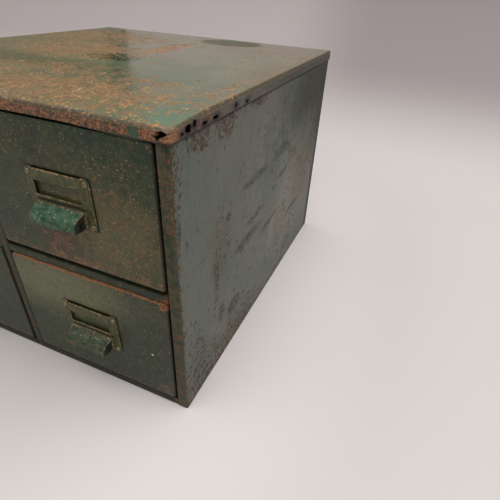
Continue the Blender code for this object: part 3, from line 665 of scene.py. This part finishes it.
def drawer_material(at, seed, blotches, tone_patches, rusty):
    """Dark green, half gloss, with fine rust and pale specks. Rust gathers along the edges and below the pull."""
    low, high = box_mm(f"drawer_front_{at}")
    centre_x = (low.x + high.x) / 2
    m = Shade(f"drawer_{at}", specular=0.3)
    tone = m.noise(30, 4, 0.66, seed=seed)
    fine = m.noise(4, 4, 0.74, seed=seed + 1)
    green = m.tones(tone, 0.38, 0.62, (28, 40, 24), (50, 56, 34))
    # Patches of lighter and darker tone on the front
    for number, (place, radii, amount, shade) in enumerate(tone_patches):
        centre = (centre_x + place[0], low.y, low.z + place[1])
        zone = m.blob(centre, (radii[0], 40, radii[1]), 0.4, 1.5, seed + 30 + number, size=22)
        green = m.mix(m.times(zone, amount), green, srgb(*shade))
    green = m.mix(m.times(m.step(fine, 0.5, 0.64), 0.45), green, srgb(74, 76, 50))
    green = m.mix(m.times(m.step(fine, 0.48, 0.36), 0.45), green, srgb(20, 28, 16))
    from_right = m.math("SUBTRACT", high.x, m.x)
    from_left = m.math("SUBTRACT", m.x, low.x)
    from_top = m.math("SUBTRACT", high.z, m.z)
    from_bottom = m.math("SUBTRACT", m.z, low.z)
    nearest_side = m.math("MINIMUM", from_right, from_left)
    likely = m.add(
        0.06,
        m.times(m.step(nearest_side, 5, 0.5), 0.2),
        m.times(m.step(from_bottom, 12, 0.5), 0.12 + 0.5 * rusty),
    )
    for number, (place, radii, amount) in enumerate(blotches):
        centre = (centre_x + place[0], low.y, low.z + place[1])
        zone = m.blob(centre, (radii[0], 40, radii[1]), 0.5, 1.2, seed + number)
        likely = m.add(likely, m.times(zone, amount))
    likely = m.times(likely, m.step(m.noise(9, 4, 0.7, seed=seed + 21), 0.36, 0.64))
    large, large_own = m.flakes(3.6, 0.36, likely, seed=seed + 20)
    small, small_own = m.flakes(1.8, 0.38, likely, seed=seed + 22)
    tiny, tiny_own = m.flakes(1.3, 0.34, m.add(m.times(likely, 0.3), 0.025), seed=seed + 23)
    grain = m.noise(2.2, 5, 0.76, seed=seed + 24)
    bloom = m.times(m.step(m.add(grain, m.times(likely, 0.2)), 0.5, 0.66), m.step(likely, 0.05, 0.35))
    green = m.mix(m.times(bloom, 0.6), green, srgb(112, 80, 54))
    top_edge = m.times(m.step(from_top, 2.8, 1.2), 0.0 if rusty > 0.5 else 0.2)
    corner = m.blob((high.x - 4, low.y, high.z - 3.5), (5, 40, 4.2), 0.5, 0.8, seed + 25)
    edge_rust = m.step(m.add(grain, top_edge, m.times(corner, 0.0 if rusty > 0.5 else 0.3)), 0.62, 0.68)
    rust_mask = m.most(large, small, edge_rust)
    colour = m.mix(m.times(large, 0.7), green, m.mix(large_own, srgb(84, 54, 36), srgb(138, 98, 64)))
    colour = m.mix(m.times(small, 0.75), colour, m.mix(small_own, srgb(108, 72, 48), srgb(158, 122, 80)))
    colour = m.mix(m.times(tiny, 0.65), colour, m.mix(tiny_own, srgb(110, 100, 66), srgb(182, 180, 146)))
    rust = m.tones(grain, 0.4, 0.6, (96, 58, 37), (158, 102, 64))
    colour = m.mix(m.times(edge_rust, 0.85), colour, rust)
    shade = m.times(m.step(nearest_side, 2.0, 0.7), m.blend(edge_rust, 0.8, 0.3))
    colour = m.mix(shade, colour, srgb(17, 19, 12))
    if rusty < 0.3:
        fleck = m.blob((high.x - 23, low.y, low.z + 57.3), (1.3, 40, 1.1), 0.2, 0.4, seed + 29)
        colour = m.mix(m.times(fleck, 0.9), colour, srgb(214, 214, 196))

    # Painted shade in the gap around the pull's plate, which stands off the front
    plate_low, plate_high = box_mm(f"drawer_pull_{at}")
    plate = (plate_low + plate_high) / 2
    half = (plate_high - plate_low) / 2
    across = m.math("SUBTRACT", m.math("ABSOLUTE", m.math("SUBTRACT", m.x, plate.x + 0.6)), half.x)
    along = m.math("SUBTRACT", m.math("ABSOLUTE", m.math("SUBTRACT", m.z, plate.z + 0.5)), half.z)
    outside = m.most(across, along)
    m.colour(m.mix(m.times(m.step(outside, 1.1, 0.2), m.step(outside, -4, -2), 0.85), colour, srgb(14, 14, 9)))
    m.roughness(m.blend(rust_mask, m.blend(m.step(tone, 0.3, 0.7), 0.36, 0.48), 0.78))
    dents = m.noise(45, 2, 0.5, seed=seed + 26)
    pitted = m.times(rust_mask, m.noise(0.9, 3, 0.7, seed=seed + 27), 1.2)
    m.bump(m.add(pitted, m.times(dents, 5.0), m.times(fine, 0.8)), 0.00014)
    return m.material


def pull_material(at, seed, bright):
    """Olive paint, greener on the hood, worn to tan metal along its edges. The hood's ends are painted near black,
    as painted shade.
    """
    low, high = box_mm(f"drawer_pull_{at}")
    middle = (low + high) / 2
    m = Shade(f"pull_{at}", specular=0.25)
    across = m.math("SUBTRACT", m.x, middle.x)
    from_middle = m.math("ABSOLUTE", across)
    up = m.math("SUBTRACT", m.z, middle.z)
    out = m.math("SUBTRACT", high.y, m.y)
    fine = m.noise(4, 4, 0.7, seed=seed)
    green = m.tones(fine, 0.4, 0.62, (54, 60, 38), (84, 80, 52))
    hood = m.step(out, 2.6, 4.4)
    streaks = m.noise(5, 5, 0.7, stretch=(1.6, 1, 1), seed=seed + 1)
    dull = m.tones(streaks, 0.38, 0.5, (24, 44, 33), (50, 62, 44))
    dull = m.mix(m.times(m.step(streaks, 0.52, 0.62), 0.8), dull, srgb(96, 78, 50))
    vivid = m.tones(streaks, 0.4, 0.6, (26, 60, 38), (60, 92, 68))
    base = m.mix(hood, green, m.mix(bright, dull, vivid))
    cream = m.times(hood, m.specks(2.8, 0.2, 0.3 + 0.25 * bright, seed=seed + 3))
    base = m.mix(m.times(cream, 0.65), base, srgb(168, 172, 132))
    grain = m.noise(2.4, 5, 0.74, seed=seed + 2)
    half = (high.x - low.x) / 2
    wear = m.add(
        grain,
        m.times(m.step(up, 22.2, 23.6), 0.14),
        m.times(m.step(from_middle, half - 1.4, half - 0.4), 0.05),
        m.times(m.band(out, 1.9, 3.6, 0.7), m.step(up, -4, -5), 0.13),
        m.times(m.band(out, 4, 7, 1.5), m.step(up, -4, -5), 0.05),
        m.times(hood, m.step(m.add(from_middle, m.times(out, 0.08)), 23.8, 25.4), m.step(up, -14, -10), 0.2),
        m.times(m.band(up, -0.4, 1.4, 0.5), m.step(from_middle, 25, 24), 0.16),
    )
    worn = m.step(wear, 0.6, 0.68)
    rust_mask = m.step(m.add(m.noise(3, 4, 0.74, seed=seed + 4), m.times(m.step(up, -15, -20), 0.1)), 0.6, 0.67)
    base = m.mix(m.times(rust_mask, 0.7), base, srgb(98, 64, 42))
    tan = m.tones(grain, 0.4, 0.62, (112, 86, 56), (160, 134, 94))
    colour = m.mix(m.times(worn, 0.85), base, tan)
    # Painted shade: the hood's ends, which face sideways, go near black.
    shaded_cheek = m.times(hood, m.step(m.math("ABSOLUTE", m.facing.outputs[0]), 0.55, 0.8))
    colour = m.mix(m.times(shaded_cheek, 0.94), colour, srgb(17, 15, 10))
    # Painted shade on the plate beside the upper ends of the hood
    corner_shade = m.times(m.band(up, -5.6, -2.6, 0.8), m.step(out, 4, 2.5), m.step(from_middle, 27.5, 26))
    m.colour(m.mix(m.times(corner_shade, 0.75), colour, srgb(24, 21, 14)))
    m.roughness(m.blend(m.most(worn, rust_mask), 0.42, 0.6))
    m.feed(m.shader.inputs["Metallic"], m.times(worn, m.flip(shaded_cheek), 0.2))
    height = m.add(m.times(worn, -0.8), m.times(m.noise(1, 3, 0.7, seed=seed + 6), 0.5), m.times(rust_mask, 0.8))
    m.bump(height, 0.00012)
    return m.material


def rivet_material():
    """Dull worn metal, grimy in patches."""
    m = Shade("rivet")
    grain = m.noise(1.2, 4, 0.7, seed=90)
    metal = m.tones(grain, 0.4, 0.6, (104, 92, 62), (150, 136, 100))
    darkened = m.step(m.noise(2.4, 3, 0.6, seed=91), 0.5, 0.62)
    m.colour(m.mix(m.times(darkened, 0.75), metal, srgb(58, 50, 34)))
    m.feed(m.shader.inputs["Metallic"], m.blend(darkened, 0.4, 0.1))
    m.roughness(m.blend(darkened, 0.42, 0.7))
    m.bump(grain, 0.0001)
    return m.material


def inner_material():
    """Thin dull green on the trays and runners, with rust bloom and rubbed tracks."""
    m = Shade("inner")
    cloud = m.noise(50, 4, 0.6, seed=95)
    green = m.tones(cloud, 0.35, 0.65, (58, 66, 50), (78, 82, 64))
    grain = m.noise(6, 5, 0.7, seed=96)
    patch = m.noise(45, 3, 0.6, seed=97)
    rust_mask = m.step(m.add(m.times(grain, 0.6), m.times(patch, 0.4)), 0.55, 0.63)
    rub = m.noise(3, 4, 0.7, stretch=(1, 30, 1), seed=98)
    base = m.mix(m.times(m.step(rub, 0.56, 0.7), 0.4), green, srgb(112, 108, 92))
    m.colour(m.mix(m.times(rust_mask, 0.85), base, m.rust(99)))
    m.roughness(m.blend(rust_mask, 0.5, 0.82))
    m.bump(m.add(m.times(rust_mask, m.noise(1, 3, 0.7, seed=100), 1.2), m.times(rub, 0.3)), 0.00015)
    return m.material


def shell_material():
    """The back and the underside: the old green, dusty, with larger fields of rust."""
    m = Shade("shell")
    cloud = m.noise(60, 4, 0.6, seed=101)
    green = m.tones(cloud, 0.35, 0.65, (62, 72, 60), (84, 90, 78))
    grain = m.noise(5, 5, 0.7, seed=102)
    patch = m.noise(70, 3, 0.6, seed=103)
    low = m.step(m.z, 50, 5)
    rust_mask = m.step(m.add(m.times(grain, 0.5), m.times(patch, 0.5), m.times(low, 0.06)), 0.56, 0.64)
    m.colour(m.mix(m.times(rust_mask, 0.85), green, m.rust(104)))
    m.roughness(m.blend(rust_mask, 0.55, 0.82))
    height = m.add(m.times(rust_mask, m.noise(1, 3, 0.7, seed=105), 1.2), m.times(m.noise(70, 2, seed=106), 6.0))
    m.bump(height, 0.00015)
    return m.material


# ---------------------------------------------------------------- the rusted-through lid

def ragged_lump(centre, radii, seed):
    """A closed lump with a broken outline, to cut a hole with."""
    shape = bmesh.new()
    bmesh.ops.create_icosphere(shape, subdivisions=3, radius=1)
    for vertex in shape.verts:
        push = noise.noise(vertex.co * 1.9 + Vector((seed * 3.7, seed, 0))) * 0.55
        push += noise.noise(vertex.co * 4.5 + Vector((0, seed * 2.3, seed))) * 0.3
        vertex.co *= 1 + push
        vertex.co = Vector(c + r * v for c, r, v in zip(centre, radii, vertex.co)) / 1000
    mesh = bpy.data.meshes.new("lump")
    shape.to_mesh(mesh)
    shape.free()
    return add_object("lump", mesh)


def smooth(value):
    """0 below 0, 1 above 1, and an S curve between."""
    value = min(max(value, 0.0), 1.0)
    return value * value * (3 - 2 * value)


def between(points, value):
    """The height at value of a line through points, which go from low to high."""
    for (x0, y0), (x1, y1) in zip(points, points[1:]):
        if value <= x1:
            return y0 + (y1 - y0) * max(0.0, (value - x0) / (x1 - x0))
    return points[-1][1]


def droop(x, y):
    """How far the lid has sunk at a place, in millimetres: only near its front right corner."""
    front = smooth((x - 112) / 60) * smooth((-140 - y) / 70)
    corner = smooth(1 - ((206 - x) ** 2 + (-215 - y) ** 2) ** 0.5 / 24)
    return 1.5 * front + 1.1 * corner


def dent_depth(y, z):
    """A dent pushed into the right side: steep towards the front and below, fading out to the rear and above."""
    reach_y = 13 if y < 18 else 62
    reach_z = 18 if z < 70 else 66
    distance = (((y - 18) / reach_y) ** 2 + ((z - 70) / reach_z) ** 2) ** 0.5
    return 4.5 * smooth((1 - distance) * 1.2)


def cut_copy(node, lumps, cuts, bend):
    """A copy of a node's mesh, cut along some planes for more points, moved by bend, and with the lumps cut out."""
    shape = bmesh.new()
    shape.from_mesh(NODES[node].data)
    bmesh.ops.remove_doubles(shape, verts=shape.verts, dist=1e-6)
    for axis, places in cuts:
        for place in places:
            normal = Vector(1.0 if i == axis else 0.0 for i in range(3))
            geometry = [*shape.verts, *shape.edges, *shape.faces]
            bmesh.ops.bisect_plane(shape, geom=geometry, plane_co=normal * place / 1000, plane_no=normal)
    for vertex in shape.verts:
        vertex.co += Vector(bend(*(vertex.co * 1000))) / 1000
    bmesh.ops.dissolve_degenerate(shape, dist=1e-6, edges=shape.edges)
    mesh = bpy.data.meshes.new(f"{node}_shape")
    shape.to_mesh(mesh)
    shape.free()
    piece = add_object(f"{node}_shell", mesh)
    for lump in lumps:
        modifier = piece.modifiers.new("hole", "BOOLEAN")
        modifier.operation = "DIFFERENCE"
        modifier.solver = "EXACT"
        modifier.object = lump
    bpy.context.view_layer.update()
    evaluated = piece.evaluated_get(bpy.context.evaluated_depsgraph_get())
    piece.data = bpy.data.meshes.new_from_object(evaluated)
    piece.modifiers.clear()
    piece.data.materials.clear()
    piece.data.shade_smooth()
    piece.data.set_sharp_from_angle(angle=radians(32))
    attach(piece, "cabinet")
    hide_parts(node)
    return piece


def add_rusted_pieces(lid_paint, side_paint):
    lumps = [ragged_lump(centre, radii, seed) for seed, (centre, radii) in enumerate(HOLES, start=1)]

    def bend_lid(x, y, z):
        down = droop(x, y)
        if z > 289:  # all but the lip's lower edge
            return 0, 0, -down
        if y < -213:  # the front lip
            down = between(LIP_SAG, x)
        else:
            down = min(down, 1.2)
        wave = noise.noise(Vector((x, y, 0)) * 0.12) * 0.35 + noise.noise(Vector((x, y, 9)) * 0.4) * 0.25
        return 0, 0, wave - down

    def bend_side(x, y, z):
        """The outer wall is dented, and its top edge in front stays below the sunken lid."""
        down = droop(x, y) + 0.25 if z > 297 and y < -80 else 0.0
        return -dent_depth(y, z) if x > 203 else 0.0, 0, -down

    across = (-150, -100, -50, 0, 40, 80, 105, 120, 130, 140, 150, 158, 165, 171, 177, 182, 187, 191, 194, 197)
    across += (200, 202)
    along = (-211.5, -209, -206, -203, -199, -195, -190, -184, -177, -168, -156, -142, -125, -105, -80, -40)
    along += (20, 90, 160)
    lid = cut_copy("lid", lumps, ((0, across), (1, along)), bend_lid)
    lid.data.materials.append(lid_paint)
    side_along = along[1:15] + (5, 7, 9, 11, 13, 15, 18, 23, 29, 36, 43, 50, 58, 66, 74, 80)
    side_up = (52, 55, 58, 61, 64, 67, 70, 75, 80, 86, 93, 101, 110, 120, 130, 136)
    side = cut_copy("side_panel_right", lumps, ((1, side_along), (2, side_up)), bend_side)
    side.data.materials.append(side_paint)
    for lump in lumps:
        bpy.data.objects.remove(lump)


# ---------------------------------------------------------------- the pulls

def spaced(*stops):
    """Numbers that run through the stops, each stop given with how far apart its numbers are up to the next."""
    values = []
    for (start, gap), (end, _) in zip(stops, stops[1:]):
        count = max(1, round((end - start) / gap))
        values += [start + (end - start) * i / count for i in range(count)]
    return values + [stops[-1][0]]


PLATE_HALF_WIDTH = 33.5
PLATE_HALF_HEIGHT = 24
PLATE_CORNER = 4.5  # radius
WINDOW_HALF_WIDTH = 24
WINDOW_LOW, WINDOW_HIGH = 1.0, 13.5
HOOD_FOOT = -20.0
HOOD_TOP = -4.4
HOOD_MOST = 16.2  # how far the hood may stand out
HOOD_PROFILE = [
    # Height about the plate's centre, and how far the hood stands out there
    (HOOD_FOOT, 16.1),
    (-14.5, 15.9),
    (-12.5, 15.3),
    (-10.8, 13.9),
    (-9.2, 11.4),
    (-6.6, 5.4),
    (-5.7, 3.3),
    (-5.0, 1.9),
    (HOOD_TOP, 1.3),
]


def hood_half(up):
    """Half the hood's width: it narrows a little towards its front."""
    return 25.6 - 1.2 * smooth((-5 - up) / 6)


def pull_out(across, up):
    """How far the pull's skin stands out from the drawer's face, in millimetres."""
    rim = min(PLATE_HALF_WIDTH - abs(across), PLATE_HALF_HEIGHT - abs(up))
    out = 1.3 - 0.5 * (1 - smooth(rim / 1.1))
    frame_side = smooth((26.6 - abs(across)) / 1.6)
    frame_low = smooth((up + 3.0) / 1.2)
    out += 1.6 * frame_side * frame_low
    lip = max(smooth(1 - abs(up - 0.4)), smooth(1 - abs(up - 14.0)))
    out += 0.3 * lip * smooth((25.5 - abs(across)) / 0.8)
    if HOOD_FOOT - 0.01 <= up < HOOD_TOP:
        inside = smooth((hood_half(up) + 0.35 - abs(across)) / 0.7)
        out += (between(HOOD_PROFILE, up) - out) * inside
    return out


def add_pull(at, paint, number):
    """A pressed pull with rounded edges, in place of the simpler one in the frame."""
    node = f"drawer_pull_{at}"
    low, high = box_mm(node)
    centre = (low + high) / 2
    face = box_mm(f"drawer_front_{at}")[0].y
    right = spaced((0, 2.2), (22.0, 1.0), (24.0, 0.4), (26.8, 0.8), (30, 1.2), (32.2, 0.45), (33.5, 1))
    across = [-x for x in reversed(right[1:])] + right
    up = spaced((-24, 0.45), (-22.6, 1.05), (-20.5, 0.5), (-20, 0.9), (-13, 0.6), (-4.4, 0.5), (-1, 0.5), (1, 1))
    up = up[:-1] + spaced((1, 1.8), (13.5, 0.5), (15, 1.4), (22.4, 0.45), (24, 1))
    tilt = (1.6, 0.5)[at.startswith("upper")]
    straight_x, straight_z = PLATE_HALF_WIDTH - PLATE_CORNER, PLATE_HALF_HEIGHT - PLATE_CORNER
    points = []
    for z in up:
        for x in across:
            out = pull_out(x, z)
            px, pz = x, z
            corner_x, corner_z = abs(x) - straight_x, abs(z) - straight_z
            if corner_x > 0 and corner_z > 0:
                reach = max(corner_x, corner_z) / (corner_x**2 + corner_z**2) ** 0.5
                px = (straight_x + corner_x * reach) * (1 if x > 0 else -1)
                pz = (straight_z + corner_z * reach) * (1 if z > 0 else -1)
            forward = max(0.0, out - 2) / 14 if z < HOOD_TOP else 0.0
            pz -= forward * tilt * (0.5 - x / 54)
            inward = min(1.0, max(0.0, (30 - abs(x)) / 8))
            dent = noise.noise(Vector((x, z, number * 9.0)) * 0.09) * 0.35 * inward
            dent *= 1.0 if out > 4 else 0.35
            out = min(out + dent, HOOD_MOST)
            points.append(Vector((centre.x + px, face - out, centre.z + pz)) / 1000)
    faces = []
    width = len(across)
    for row in range(len(up) - 1):
        for column in range(width - 1):
            middle_x = (across[column] + across[column + 1]) / 2
            middle_z = (up[row] + up[row + 1]) / 2
            window = abs(middle_x) < WINDOW_HALF_WIDTH and WINDOW_LOW < middle_z < WINDOW_HIGH
            underside = HOOD_FOOT - 0.5 < middle_z < HOOD_FOOT and abs(middle_x) < 24.8
            if not window and not underside:
                first = row * width + column
                faces.append((first, first + 1, first + width + 1, first + width))
    mesh = bpy.data.meshes.new(f"{node}_skin")
    mesh.from_pydata(points, [], faces)
    shape = bmesh.new()
    shape.from_mesh(mesh)
    loose = [vertex for vertex in shape.verts if not vertex.link_faces]
    bmesh.ops.delete(shape, geom=loose, context="VERTS")
    shape.to_mesh(mesh)
    shape.free()
    mesh.materials.append(paint)
    mesh.shade_smooth()
    piece = add_object(f"{node}_pressed", mesh)
    sheet = piece.modifiers.new("sheet", "SOLIDIFY")
    sheet.thickness = 0.0009
    sheet.offset = -1
    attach(piece, f"drawer_{at}")
    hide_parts(node)


def dress(material, *names):
    """Puts a material on CAD nodes."""
    for name in names:
        for slot in NODES[name].material_slots:
            slot.material = material


def dress_all():
    side_paint = side_material()
    dress(side_paint, "side_panel_left")
    add_rusted_pieces(lid_material(), side_paint)
    dress(frame_material(), "centre_divider", *[n for n in NODES if "_rail_" in n])
    dress(shell_material(), "back_panel", "bottom_panel")
    dress(inner_material(), *[n for n in NODES if n.startswith(("runner", "drawer_tray"))])
    upper = [
        ((44, 44), (46, 42), 0.42),
        ((-18, 18), (16, 22), 0.6),
        ((20, 3), (76, 8), 0.3),
        ((60, 80), (26, 40), 0.1),
        ((-20, 112), (60, 18), 0.16),
        ((70, 118), (20, 14), 0.1),
    ]
    upper_tones = [
        ((40, 48), (62, 50), 0.6, (92, 90, 62)),
        ((-16, 20), (20, 26), 0.85, (66, 46, 33)),
        ((60, 112), (50, 30), 0.6, (28, 48, 30)),
    ]
    lower = [
        ((84, 8), (10, 9), 0.5),
        ((-10, 124), (70, 8), 0.16),
        ((30, 104), (20, 10), 0.16),
    ]
    lower_tones = [
        ((-40, 108), (90, 34), 0.85, (102, 104, 76)),
        ((66, 60), (44, 60), 0.5, (28, 38, 30)),
        ((0, 30), (60, 20), 0.4, (38, 46, 32)),
    ]
    mirrored = [((-x, z), radii, amount) for (x, z), radii, amount in upper]
    looks = {
        "upper_right": (200, upper, upper_tones, 1.0),
        "lower_right": (260, lower, lower_tones, 0.2),
        "upper_left": (320, lower, upper_tones, 0.5),
        "lower_left": (380, mirrored, lower_tones, 0.6),
    }
    for at, look in looks.items():
        dress(drawer_material(at, *look), f"drawer_front_{at}")
    for number, at in enumerate(DRAWERS):
        bright = 1.0 if at.startswith("upper") else 0.15
        add_pull(at, pull_material(at, 440 + 20 * number, bright), number)
    dress(rivet_material(), *[n for n in NODES if n.startswith("pull_rivet")])


add_camera()
add_stage()
add_card()
add_light()
dress_all()
